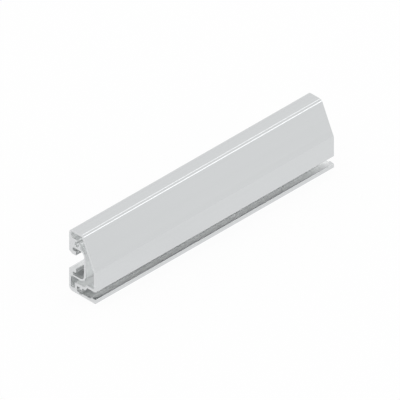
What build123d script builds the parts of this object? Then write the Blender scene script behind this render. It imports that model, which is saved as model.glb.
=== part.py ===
from build123d import *
import os

# Hollow aluminium profile: a T-slot in the back face, a slanted front, and below it a panel groove.
# The section is drawn as it shows on the near end. Across runs from the back face to the front,
# up runs from the underside to the top. All sizes are in millimetres.

# Cut length and outer envelope
length = 203.0
depth = 22.5
height = 45.0
top_width = 12.0
slant_foot_height = 22.5
skin_wall = 1.55
back_corner_radius = 3.1
top_edge_radius = 3.0
slant_break_radius = 3.0
front_foot_radius = 0.3
chamber_radius = 1.2

# Radii that the die leaves on free edges and in inner corners, and how far outlines run past a corner
edge_radius = 0.3
root_radius = 0.5
overrun = 1.5

# T-slot, open through the back face halfway up
slot_mouth = 10.0
slot_flare = 1.5
slot_flare_depth = 2.5
slot_lip_depth = 5.85
slot_hook_depth = 2.75
slot_hook_height = 2.2
slot_width = 20.1
slot_depth = 12.65
slot_corner_radius = 3.2
slot_wall = 1.3

# Screw port on the roof of the slot's housing, open towards the upper front
port_across = 6.5
port_bed = 0.35
port_radius = 1.8
port_wall = 1.4
port_gap_across = 0.4
port_gap_rise = 1.1
port_web_chamfer = 1.6

# Panel groove, open through the front face, with its stretches counted from the inner end outwards
flange_thickness = 2.0
foot_thickness = 3.0
groove_end_across = 6.65
groove_end_wall = 1.6
groove_end_height = 3.6
groove_end_thin_length = 1.1
groove_ledge_length = 1.75
groove_notch_length = 2.5
groove_notch_depth = 0.9
groove_pocket_length = 2.55
groove_tooth_length = 1.7
groove_tooth_drop = 1.1
groove_throat_length = 3.0
groove_throat_rise = 0.4
groove_step_run = 1.5
groove_mouth_rise = 2.3
groove_wall = 1.85
groove_step_lead = 0.5
groove_step_radius = 1.5
groove_lip_length = 3.7
groove_lip_rise = 1.15
groove_lip_lead = 0.2

# Places that several features share
slot_height = height / 2
slot_roof = slot_height + slot_width / 2 + slot_wall
port_height = slot_roof + port_bed + port_radius
groove_end_roof = flange_thickness + groove_end_height
groove_throat_roof = groove_end_roof + groove_throat_rise
groove_mouth_roof = groove_throat_roof + groove_mouth_rise
groove_tooth_front = groove_end_across + groove_pocket_length + groove_tooth_length
groove_step_across = groove_tooth_front + groove_throat_length
envelope_corners = [(0, 0), (depth, 0), (depth, slant_foot_height), (top_width, height), (0, height)]


def outline(*corners):
    """Closed face through corners given as (across, up, radius)."""
    points = [(across, up) for across, up, radius in corners]
    radii = [radius for across, up, radius in corners]
    return make_face(FilletPolyline(*points, radius=radii, close=True))


def envelope():
    """Outer shape of the profile, before anything opens it."""
    radii = [back_corner_radius, front_foot_radius, slant_break_radius, top_edge_radius, back_corner_radius]
    return make_face(FilletPolyline(*envelope_corners, radius=radii, close=True))


def inside_of_skin():
    """Room that one even wall leaves inside the envelope."""
    room = offset(make_face(Polyline(*envelope_corners, close=True)), -skin_wall, kind=Kind.INTERSECTION)
    return fillet(room.vertices(), chamber_radius)


def slot_housing():
    """Block that the T-slot is cut into, with a root at the back wall and round front corners."""
    front = slot_depth + slot_wall
    floor = slot_height - slot_width / 2 - slot_wall
    bend = slot_corner_radius + slot_wall
    return outline(
        (0, floor - overrun, 0),
        (skin_wall, floor - overrun, 0),
        (skin_wall, floor, root_radius),
        (front, floor, bend),
        (front, slot_roof, bend),
        (0, slot_roof, 0),
    )


def t_slot():
    """Flared mouth, lips with hooked undercuts, and a cavity with rounded inner corners."""
    hook_back = slot_lip_depth - slot_hook_depth
    hook_shoulder = slot_width / 2 - slot_hook_height
    flare_edge = slot_mouth / 2 + slot_flare
    upper_half = outline(
        (-overrun, 0, 0),
        (slot_depth, 0, 0),
        (slot_depth, slot_width / 2, slot_corner_radius),
        (hook_back, slot_width / 2, root_radius),
        (hook_back, hook_shoulder, root_radius),
        (slot_lip_depth, hook_shoulder, edge_radius),
        (slot_lip_depth, slot_mouth / 2, edge_radius),
        (slot_flare_depth, slot_mouth / 2, edge_radius),
        (0, flare_edge, edge_radius),
        (0, flare_edge + overrun, 0),
        (-overrun, flare_edge + overrun, 0),
    )
    return Pos(0, slot_height) * (upper_half + mirror(upper_half, about=Plane.XZ))


def port_boss():
    """Block round the screw port, tied to the back wall, with rounded tips beside the port's gap."""
    reach = port_radius + port_wall
    front = port_across + reach
    top = port_height + reach
    block = outline(
        (0, slot_height, 0),
        (front, slot_height, 0),
        (front, top, 0),
        (skin_wall + port_web_chamfer, top, root_radius),
        (skin_wall, top + port_web_chamfer, root_radius),
        (skin_wall, top + port_web_chamfer + overrun, 0),
        (0, top + port_web_chamfer + overrun, 0),
    )
    bore = Pos(port_across, port_height) * Circle(port_radius)
    gap_corner = Pos(port_across + port_gap_across, port_height + port_gap_rise)
    gap = gap_corner * Rectangle(reach, reach, align=(Align.MIN, Align.MIN))
    boss = block - bore - gap
    tips = [corner for corner in boss.vertices() if corner.distance_to(gap) < edge_radius]
    return fillet(tips, edge_radius)


def slot_and_port():
    """Slot housing and port boss in one, with a root where the boss stands on the housing."""
    joined = slot_housing() + port_boss()
    nook = Vertex(port_across + port_radius + port_wall, slot_roof, 0)
    return fillet(joined.vertices().sort_by_distance(nook)[0], root_radius)


def groove_housing():
    """Foot of the profile that the panel groove is cut into, one wall thicker than the groove."""
    rib = groove_end_across - groove_end_wall
    front = depth - skin_wall
    thin_front = groove_end_across + groove_end_thin_length
    step_back = groove_step_across - groove_step_lead
    end_top = groove_end_roof + groove_wall
    throat_top = groove_throat_roof + groove_wall
    mouth_top = groove_mouth_roof + groove_wall
    return outline(
        (0, 0, 0),
        (depth, 0, 0),
        (depth, mouth_top + overrun, 0),
        (front, mouth_top + overrun, 0),
        (front, mouth_top, root_radius),
        (step_back + groove_step_run, mouth_top, groove_step_radius),
        (step_back, throat_top, root_radius),
        (thin_front + groove_throat_rise, throat_top, edge_radius),
        (thin_front, end_top, edge_radius),
        (rib, end_top, edge_radius),
        (rib, foot_thickness, root_radius),
        (skin_wall, foot_thickness, root_radius),
        (skin_wall, foot_thickness + overrun, 0),
        (0, foot_thickness + overrun, 0),
    )


def panel_groove():
    """Stepped groove with a retaining lip at its mouth, a tooth in its roof and a notch below it."""
    lip_back = depth - groove_lip_length
    lip_top = flange_thickness + groove_lip_rise
    lip_front = lip_top - groove_lip_lead
    notch_back = groove_end_across + groove_ledge_length
    notch_front = notch_back + groove_notch_length
    notch_floor = flange_thickness - groove_notch_depth
    tooth_back = groove_tooth_front - groove_tooth_length
    tooth_tip = groove_end_roof - groove_tooth_drop
    return outline(
        (depth + overrun, groove_mouth_roof + overrun, 0),
        (depth, groove_mouth_roof + overrun, 0),
        (depth, groove_mouth_roof, edge_radius),
        (groove_step_across + groove_step_run, groove_mouth_roof, root_radius),
        (groove_step_across, groove_throat_roof, edge_radius),
        (groove_tooth_front, groove_throat_roof, root_radius),
        (groove_tooth_front, tooth_tip, edge_radius),
        (tooth_back, tooth_tip, edge_radius),
        (tooth_back, groove_end_roof, edge_radius),
        (groove_end_across, groove_end_roof, root_radius),
        (groove_end_across, flange_thickness, root_radius),
        (notch_back, flange_thickness, edge_radius),
        (notch_back, notch_floor, edge_radius),
        (notch_front, notch_floor, edge_radius),
        (notch_front, flange_thickness, edge_radius),
        (lip_back, flange_thickness, root_radius),
        (lip_back, lip_top, edge_radius),
        (depth, lip_front, edge_radius),
        (depth, lip_front - overrun, 0),
        (depth + overrun, lip_front - overrun, 0),
    )


chamber = inside_of_skin() - slot_and_port() - groove_housing()
section = envelope() - chamber - t_slot() - panel_groove()
far_end = Plane(origin=(length / 2, depth / 2, 0), x_dir=(0, -1, 0), z_dir=(-1, 0, 0))
profile = extrude(far_end * section, amount=length)

os.makedirs("parts", exist_ok=True)
export_step(profile, "parts/extrusion_profile.step")
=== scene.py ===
# %% [markdown]
# # A hollow aluminium profile, dressed for its picture
#
# The object is one length of bar stock. Hot aluminium was pressed through a die, so that the same
# section runs from end to end, then it was anodised, and a saw cut it square at both ends. All of
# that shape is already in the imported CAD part, down to the small radii on the lips of the slots. So
# this lesson doesn't model it again: it loads the part as a fixed frame, in metres, and gives it what
# CAD can't, which is the skin of the metal, the bare cut ends, the light and the view.

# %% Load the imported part
import math

import bpy
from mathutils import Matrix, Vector


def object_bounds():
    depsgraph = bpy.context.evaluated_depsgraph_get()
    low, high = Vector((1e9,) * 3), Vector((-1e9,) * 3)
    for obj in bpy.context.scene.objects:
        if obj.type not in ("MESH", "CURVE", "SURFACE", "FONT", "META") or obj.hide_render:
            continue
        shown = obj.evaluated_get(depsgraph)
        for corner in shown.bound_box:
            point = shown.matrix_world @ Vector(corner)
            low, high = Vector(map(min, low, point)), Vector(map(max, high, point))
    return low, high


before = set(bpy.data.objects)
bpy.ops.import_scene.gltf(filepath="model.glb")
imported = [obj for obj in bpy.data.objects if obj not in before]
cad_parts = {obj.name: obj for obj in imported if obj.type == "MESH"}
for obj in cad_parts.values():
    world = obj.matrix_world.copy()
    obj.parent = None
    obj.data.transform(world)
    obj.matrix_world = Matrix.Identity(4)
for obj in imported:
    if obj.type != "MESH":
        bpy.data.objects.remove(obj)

MM = 0.001
cad_low, cad_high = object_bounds()
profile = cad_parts["extrusion_profile"]
print("profile in mm:", [round(side / MM, 2) for side in cad_high - cad_low])

# %% [markdown]
# ## Colours and nodes
#
# A colour picker shows sRGB values, as in `#D0D2D4`, while a shader counts light in linear values.
# One function turns the first into the second, so every colour below can be written as a hex value.
# A second one adds a node to a material, sets it up and links its inputs. Written once, it keeps each
# material short enough to read as a recipe.

# %% Helpers for colours and nodes
def linear(hex_colour):
    """Linear RGBA of an sRGB colour such as "#D0D2D4"."""
    values = [int(hex_colour[start:start + 2], 16) / 255 for start in (1, 3, 5)]
    return [v / 12.92 if v <= 0.04045 else ((v + 0.055) / 1.055) ** 2.4 for v in values] + [1.0]


def add_node(tree, kind, settings=None, inputs=None):
    """A new node with its settings. Each named input gets a value, an output, or a node's first output."""
    node = tree.nodes.new(kind)
    for name, value in (settings or {}).items():
        setattr(node, name, value)
    for name, value in (inputs or {}).items():
        socket = next(s for s in node.inputs if s.enabled and s.name == name)
        if isinstance(value, bpy.types.Node):
            value = next(s for s in value.outputs if s.enabled)
        if isinstance(value, bpy.types.NodeSocket):
            tree.links.new(value, socket)
        else:
            socket.default_value = value
    return node


print("a mid grey in linear light:", round(linear("#808080")[0], 3))

# %% [markdown]
# ## The anodised skin
#
# Natural anodised aluminium is metal under a thin clear oxide. To the eye it is a pale, slightly cool
# grey, and this one has been polished enough to draw a lamp as a crisp line on a rounded edge, so the
# shader is a full metal of low roughness. The die leaves faint lines along the bar, each from some
# speck on the die's edge. They could be scratches drawn in a picture, but a noise that is stretched
# along the length gives the same streaks on every face at once, inside the slots too. Real die lines
# are about 0.2 mm apart, which is far below a pixel here, so the coarsest ones are drawn 1.6 mm apart,
# and finer octaves fill in between.

# %% The skin's die lines
metal = bpy.data.materials.new("anodised_aluminium_with_sawn_ends")
metal.use_nodes = True
tree = metal.node_tree
tree.nodes.clear()
place = add_node(tree, "ShaderNodeTexCoord")

die_line_spacing = 1.6 * MM
die_line_length = 900 * MM
die_line_octaves = 4.0
finer_line_share = 0.6
stretched = add_node(tree, "ShaderNodeMapping", inputs={
    "Vector": place.outputs["Object"],
    "Scale": (1 / die_line_length, 1 / die_line_spacing, 1 / die_line_spacing),
})
die_lines = add_node(tree, "ShaderNodeTexNoise", inputs={
    "Vector": stretched, "Scale": 1.0, "Detail": die_line_octaves, "Roughness": finer_line_share,
})
print("die lines every", die_line_spacing / MM, "mm")

# %% The skin's tone and roughness
polished_roughness = 0.16
scored_roughness = 0.22
skin_tone = add_node(tree, "ShaderNodeMix", {"data_type": "RGBA"}, {
    "Factor": die_lines, "A": linear("#D1D3D4"), "B": linear("#D8DADB"),
})
skin_roughness = add_node(tree, "ShaderNodeMapRange", inputs={
    "Value": die_lines, "To Min": polished_roughness, "To Max": scored_roughness,
})
print("skin roughness from", polished_roughness, "to", scored_roughness)

# %% [markdown]
# ## Bare metal and painted light in the slots and the hollow
#
# Anodising is done in a bath, by an electric current that takes the short way to the outer faces. It
# hardly reaches into the slots, and not at all into the hollow, so there the metal stays as the die
# left it: bare, brighter than the skin, and duller in its shine. The pale tone there is also painted
# light: it lightens the shut-in walls, where little light gets in. The inner faces could be picked out
# one by one, but the change is gradual, so the Ambient Occlusion node finds them instead. At each
# point it tells how much of the surroundings is open, from 1 on an outer face to 0 deep inside, and
# that share blends the bare metal and its painted light into the skin. The node guesses the share from
# a number of rays, and many of them keep the grain of the blend low.

# %% Bare metal and painted light where the bath doesn't reach
occlusion_reach = 40 * MM
rays_per_point = 64
bare_and_painted_light_below = 0.39
skin_above = 0.57
bare_roughness = 0.45
openness = add_node(tree, "ShaderNodeAmbientOcclusion", {"samples": rays_per_point, "only_local": True}, {
    "Distance": occlusion_reach,
})
# Painted light: where the bar is shut in, this share lets the pale bare tone lighten the walls.
skin_share = add_node(tree, "ShaderNodeMapRange", inputs={
    "Value": openness.outputs["AO"], "From Min": bare_and_painted_light_below, "From Max": skin_above,
})
wall_roughness = add_node(tree, "ShaderNodeMix", inputs={
    "Factor": skin_share, "A": bare_roughness, "B": skin_roughness,
})
print("bare where less than", bare_and_painted_light_below, "is open, within", occlusion_reach / MM, "mm")

# %% [markdown]
# ## Greyer walls in the T-slot
#
# The T-slot has a wide mouth, so the bath gets some way into it, and its walls look a shade greyer than
# those of the hollow: partly the thin oxide, and partly less of the painted light. They could be painted
# as a picture on the part, but they lie in one box of the section, so their place is enough. The box goes
# from the back face to the middle of the slot's wall and is longer than the bar. The distance from the
# box's middle is counted in halves of the box. Inside the box each part of it is below 1 and rounds down
# to 0, so the length of the rounded distance is a mask: 0 in the T-slot and 1 or more elsewhere.

# %% The T-slot's box and the tone of all the walls
slot_box_length = 2 * (cad_high.x - cad_low.x)
slot_box_depth = 13.3 * MM
slot_box_height = 21.4 * MM
slot_box = Vector((slot_box_length, slot_box_depth, slot_box_height))
slot_middle = Vector((0, cad_high.y - slot_box_depth / 2, (cad_low.z + cad_high.z) / 2))
half_boxes = add_node(tree, "ShaderNodeMapping", {"vector_type": "TEXTURE"}, {
    "Vector": place.outputs["Object"], "Location": slot_middle, "Scale": slot_box / 2,
})
distance = add_node(tree, "ShaderNodeVectorMath", {"operation": "ABSOLUTE"}, {"Vector": half_boxes})
rounded = add_node(tree, "ShaderNodeVectorMath", {"operation": "FLOOR"}, {"Vector": distance})
out_of_slot = add_node(tree, "ShaderNodeVectorMath", {"operation": "LENGTH"}, {"Vector": rounded})
# The pale tone is partly bare metal and partly painted light that lightens shut-in walls, a shade less in
# the T-slot.
bare_and_painted_light_tone = add_node(tree, "ShaderNodeMix", {"data_type": "RGBA"}, {
    "Factor": out_of_slot, "A": linear("#F1F2F2"), "B": linear("#F5F6F6"),
})
wall_tone = add_node(tree, "ShaderNodeMix", {"data_type": "RGBA"}, {
    "Factor": skin_share, "A": bare_and_painted_light_tone, "B": skin_tone,
})
print("the T-slot's box in mm:", [round(side / MM, 1) for side in slot_box])

# %% [markdown]
# ## The sawn ends
#
# The bar was cut after it was anodised, so its two ends are bare metal, a little brighter than the
# skin. A round saw blade leaves shallow arcs there, all about the blade's axis. A Wave texture could
# draw rings, but they come out evenly spaced, and a blade's marks aren't. So the distance from the
# blade's axis goes into a noise of one dimension, which gives arcs of uneven width and depth.

# %% The ends' saw marks
axis_below_bar = 150 * MM
axis_in_front = 75 * MM
saw_mark_spacing = 0.9 * MM
saw_mark_octaves = 3.0
finer_mark_share = 0.55
blade_axis = Vector((0, -axis_in_front, -axis_below_bar))
from_blade_axis = add_node(tree, "ShaderNodeMapping", inputs={
    "Vector": place.outputs["Object"], "Location": -blade_axis, "Scale": (0, 1, 1),
})
blade_distance = add_node(tree, "ShaderNodeVectorMath", {"operation": "LENGTH"}, {"Vector": from_blade_axis})
saw_marks = add_node(tree, "ShaderNodeTexNoise", {"noise_dimensions": "1D"}, {
    "W": blade_distance, "Scale": 1 / saw_mark_spacing,
    "Detail": saw_mark_octaves, "Roughness": finer_mark_share,
})
print("saw marks every", saw_mark_spacing / MM, "mm")

# %% The ends' tone and roughness
bright_mark_roughness = 0.2
dull_mark_roughness = 0.4
cut_tone = add_node(tree, "ShaderNodeMix", {"data_type": "RGBA"}, {
    "Factor": saw_marks, "A": linear("#D2D4D5"), "B": linear("#DEDFE0"),
})
cut_roughness = add_node(tree, "ShaderNodeMapRange", inputs={
    "Value": saw_marks, "To Min": bright_mark_roughness, "To Max": dull_mark_roughness,
})
print("cut roughness from", bright_mark_roughness, "to", dull_mark_roughness)

# %% [markdown]
# ## One metal from all the finishes
#
# Separate materials on separate faces would do as well, but the part's faces stay as CAD made them. So
# one metal shader takes its colour, roughness and relief from the walls or from the sawn end, as a mask
# says. The walls' normals have no part along the bar and those of the ends have nothing else, so that
# part of the normal, made positive, is a ready mask: 1 on the ends and 0 everywhere else. The relief is
# a bump of about a hundredth of a millimetre at most: enough to break up a highlight, and far too small
# to show in the outline.

# %% The mask of the ends and the relief
die_line_height = 0.004 * MM
saw_mark_height = 0.012 * MM
normal_parts = add_node(tree, "ShaderNodeSeparateXYZ", inputs={"Vector": place.outputs["Normal"]})
on_ends = add_node(tree, "ShaderNodeMath", {"operation": "ABSOLUTE"}, {"Value": normal_parts.outputs["X"]})
die_relief = add_node(tree, "ShaderNodeMapRange", inputs={
    "Value": die_lines, "To Max": die_line_height / MM,
})
cut_relief = add_node(tree, "ShaderNodeMapRange", inputs={
    "Value": saw_marks, "To Max": saw_mark_height / MM,
})
relief = add_node(tree, "ShaderNodeMix", inputs={
    "Factor": on_ends, "A": die_relief, "B": cut_relief,
})
bump = add_node(tree, "ShaderNodeBump", inputs={"Height": relief, "Distance": MM})
print("relief up to", saw_mark_height / MM, "mm")

# %% Put the metal together and give it to the profile
tone = add_node(tree, "ShaderNodeMix", {"data_type": "RGBA"}, {
    "Factor": on_ends, "A": wall_tone, "B": cut_tone,
})
roughness = add_node(tree, "ShaderNodeMix", inputs={
    "Factor": on_ends, "A": wall_roughness, "B": cut_roughness,
})
shader = add_node(tree, "ShaderNodeBsdfPrincipled", inputs={
    "Base Color": tone, "Metallic": 1.0, "Roughness": roughness, "Normal": bump,
})
add_node(tree, "ShaderNodeOutputMaterial", inputs={"Surface": shader})
profile.material_slots[0].material = metal
print(metal.name, "has", len(tree.nodes), "nodes")

# %% [markdown]
# ## The floor
#
# Metal shows what stands round it, so its picture is made by its surroundings. Here they are white on
# all sides. A curved backdrop would do as well, but this picture looks down, so a flat floor fills it.
# The floor is one wide plane, a hair below the part, because two faces in the same place would flicker.

# %% White floor
floor_side = 6000 * MM
floor_drop = 0.1 * MM
bpy.ops.object.select_all(action="DESELECT")
bpy.ops.mesh.primitive_plane_add(size=floor_side, location=(0, 0, cad_low.z - floor_drop))
floor = bpy.context.active_object
floor.name = "floor"
print("floor is", floor_side / MM, "mm wide")

# %% [markdown]
# ## The floor's paint
#
# White matt paint only looks white under strong light, and strong light would bleach the metal. So the
# paint is a blend. The Light Path node picks out the rays that come straight from the eye, off a shiny
# face or through glass, and for them the paint mostly glows white by itself. The rest is plain matt
# paint, which is where the bar's soft shadow falls.

# %% White floor paint
floor_glow_share = 0.92
paint = bpy.data.materials.new("white_floor_paint")
paint.use_nodes = True
floor_tree = paint.node_tree
floor_tree.nodes.clear()
path = add_node(floor_tree, "ShaderNodeLightPath")
seen_or_mirrored = add_node(floor_tree, "ShaderNodeMath", {"operation": "MAXIMUM"}, {
    "Value": path.outputs["Is Camera Ray"],
})
floor_tree.links.new(path.outputs["Is Glossy Ray"], seen_or_mirrored.inputs[1])
seen_through_too = add_node(floor_tree, "ShaderNodeMath", {"operation": "MAXIMUM"}, {
    "Value": seen_or_mirrored,
})
floor_tree.links.new(path.outputs["Is Transmission Ray"], seen_through_too.inputs[1])
glow_share = add_node(floor_tree, "ShaderNodeMath", {"operation": "MULTIPLY"}, {"Value": seen_through_too})
glow_share.inputs[1].default_value = floor_glow_share
matt = add_node(floor_tree, "ShaderNodeBsdfDiffuse", inputs={"Color": linear("#FAFAFA")})
glow = add_node(floor_tree, "ShaderNodeEmission", inputs={"Color": linear("#FFFFFF"), "Strength": 1.0})
surface = add_node(floor_tree, "ShaderNodeMixShader", inputs={"Fac": glow_share, "Shader": matt})
floor_tree.links.new(glow.outputs["Emission"], surface.inputs[2])
add_node(floor_tree, "ShaderNodeOutputMaterial", inputs={"Surface": surface})
floor.data.materials.append(paint)
print("floor glows by", floor_glow_share)

# %% [markdown]
# ## The sky
#
# The rest of the studio is the world, which is plain light from all directions. Above the horizon it is
# a shade darker than the floor, so that the top and the slanted front, which mirror it, come out a
# shade darker than the upright front, which mirrors the floor. Below the horizon it is white and goes
# on where the floor ends. A ready sky texture would bring a sun and blue air, and here the light should
# stay neutral, so the height of the direction is all that sets its strength.

# %% World of plain light
sky_strength = 0.955
horizon_blur = 0.01
world = bpy.data.worlds.new("white_studio")
world.use_nodes = True
sky_tree = world.node_tree
sky_tree.nodes.clear()
gaze = add_node(sky_tree, "ShaderNodeTexCoord")
gaze_parts = add_node(sky_tree, "ShaderNodeSeparateXYZ", inputs={"Vector": gaze.outputs["Generated"]})
strength = add_node(sky_tree, "ShaderNodeMapRange", inputs={
    "Value": gaze_parts.outputs["Z"], "From Min": -horizon_blur, "From Max": horizon_blur,
    "To Min": 1.0, "To Max": sky_strength,
})
sky = add_node(sky_tree, "ShaderNodeBackground", inputs={"Color": linear("#FFFFFF"), "Strength": strength})
add_node(sky_tree, "ShaderNodeOutputWorld", inputs={"Surface": sky})
bpy.context.scene.world = world
print("sky gives", sky_strength, "of the floor's light")

# %% [markdown]
# ## Camera
#
# The picture is a parallel view, 45 degrees round and 35 degrees down, so the camera is orthographic:
# its scale is the width of the picture in metres. A camera with perspective, far away, would come close
# to it, but parallel edges would still draw together. Two measures from the picture place it: how many
# pixels a millimetre takes, and the pixel where the middle of the bar's underside would show.

# %% The direction of the eye
view_azimuth = math.radians(-45)
view_elevation = math.radians(35)
towards_camera = Vector((
    math.sin(view_azimuth) * math.cos(view_elevation),
    -math.cos(view_azimuth) * math.cos(view_elevation),
    math.sin(view_elevation),
))
turn = towards_camera.to_track_quat("Z", "Y")
print("the eye is towards", [round(value, 2) for value in towards_camera])

# %% Orthographic camera
photo_side_px = 400
photo_px_per_mm = 1.6603
origin_px = (201.54, 228.36)
camera_distance = 1000 * MM
metres_per_px = MM / photo_px_per_mm
right_of_origin = (photo_side_px / 2 - origin_px[0]) * metres_per_px
above_origin = (origin_px[1] - photo_side_px / 2) * metres_per_px
camera_data = bpy.data.cameras.new("camera")
camera_data.type = "ORTHO"
camera_data.ortho_scale = photo_side_px * metres_per_px
camera = bpy.data.objects.new("camera", camera_data)
bpy.context.scene.collection.objects.link(camera)
camera.rotation_mode = "QUATERNION"
camera.rotation_quaternion = turn
camera.location = turn @ Vector((right_of_origin, above_origin, camera_distance))
bpy.context.scene.camera = camera
print("camera sees", round(camera_data.ortho_scale / MM, 1), "mm across")

# %% [markdown]
# ## Two strip lights
#
# The rounded edge between the top and the slanted front carries two bright lines. On a round edge the
# normal turns from up to forwards, and each lamp shows where the normal lies halfway between it and
# the eye. So a lamp's direction follows from the tilt of the normal where its line is wanted: it is
# the eye's direction, mirrored about that normal. Each lamp is a long strip, level with the bar, because
# that draws an even line from end to end. It is narrow and far off, because a wide or near one would
# spread over the flat faces too. An area lamp's power is spread over its surface, so a lamp is set here
# by its radiance, which is how bright it looks in a mirror when the white floor is 1.

# %% A flat lamp
def add_lamp(name, location, back, size, radiance):
    """A flat lamp that the camera doesn't see. Its back faces along back, and it shines the other way."""
    data = bpy.data.lights.new(name, "AREA")
    data.shape = "RECTANGLE"
    data.size, data.size_y = size
    data.energy = radiance * math.pi * data.size * data.size_y
    lamp = bpy.data.objects.new(name, data)
    bpy.context.scene.collection.objects.link(lamp)
    lamp.location = location
    lamp.rotation_mode = "QUATERNION"
    lamp.rotation_quaternion = back.to_track_quat("Z", "Y")
    lamp.visible_camera = False
    print(name, "gives", round(data.energy, 4), "W")


print("a lamp as bright as the floor gives", round(math.pi, 2), "W from each square metre")

# %% Strip lights for the two bright lines
strip_length = 640 * MM
strip_distance = 1500 * MM
strips = {
    "upper_strip": {"tilt_degrees": 15.0, "width": 195 * MM, "radiance": 1.05},
    "front_strip": {"tilt_degrees": 46.5, "width": 260 * MM, "radiance": 1.15},
}
for name, strip in strips.items():
    tilt = math.radians(strip["tilt_degrees"])
    normal = Vector((0, -math.sin(tilt), math.cos(tilt)))
    direction = 2 * towards_camera.dot(normal) * normal - towards_camera
    location = direction * strip_distance
    away_from_bar = Vector((0, direction.y, direction.z))
    add_lamp(name, location, away_from_bar, (strip_length, strip["width"]), strip["radiance"])
    print(name, "stands at", [round(value, 2) for value in location])

# %% [markdown]
# ## Light in the hollow
#
# The hollow is a deep and narrow room. From outside hardly any light gets in, yet in the picture its
# walls are nearly as pale as the skin. A brighter studio would only bleach the outside, so the hollow
# has lamps of its own: flat panels that lie along its walls from end to end. They are on the walls that
# face away from the eye, which are the front, the slanted skin and its shoulder, the roof, the
# underside of the slot's housing and the gap of the screw port, and they shine on the walls that it
# sees. One panel across the hollow would be quicker, but beyond it a view from the end would be black.
# The light then goes from wall to wall many times before it leaves. Cycles follows a shiny path for
# four bounces and ends it in the dark, so it is told to follow more of them.

# %% Panels along the walls of the hollow
panel_inset = 1.5 * MM
wall_to_wall_bounces = 24
# Each panel goes from one point of the section to another, in mm across from the back face and up from
# the underside. Seen on the near end, it shines to the left of the way from the first to the second.
panels = {
    "front_panel": {"edges": ((20.8, 10.4), (20.8, 22.0)), "radiance": 0.34},
    "slant_panel": {"edges": ((20.6, 22.6), (15.3, 34.0)), "radiance": 0.20},
    "shoulder_panel": {"edges": ((15.3, 34.0), (11.2, 42.7)), "radiance": 0.20},
    "roof_panel": {"edges": ((10.8, 43.3), (1.8, 43.3)), "radiance": 0.12},
    "slot_panel": {"edges": ((12.0, 11.0), (1.8, 11.0)), "radiance": 0.26},
    "port_panel": {"edges": ((9.6, 37.3), (7.0, 39.1)), "radiance": 0.40},
}
panel_length = cad_high.x - cad_low.x - 2 * panel_inset
for name, panel in panels.items():
    start, stop = [Vector((0, cad_high.y - across * MM, up * MM)) for across, up in panel["edges"]]
    way = stop - start
    into_wall = Vector((0, -way.z, way.y))
    add_lamp(name, (start + stop) / 2, into_wall, (panel_length, way.length), panel["radiance"])
bpy.context.scene.cycles.max_bounces = wall_to_wall_bounces
bpy.context.scene.cycles.glossy_bounces = wall_to_wall_bounces
print(len(panels), "panels,", round(panel_length / MM, 1), "mm long")

# %% [markdown]
# ## Finish
#
# The Standard view transform shows colours as they are written.

# %% View transform
bpy.context.scene.view_settings.view_transform = "Standard"
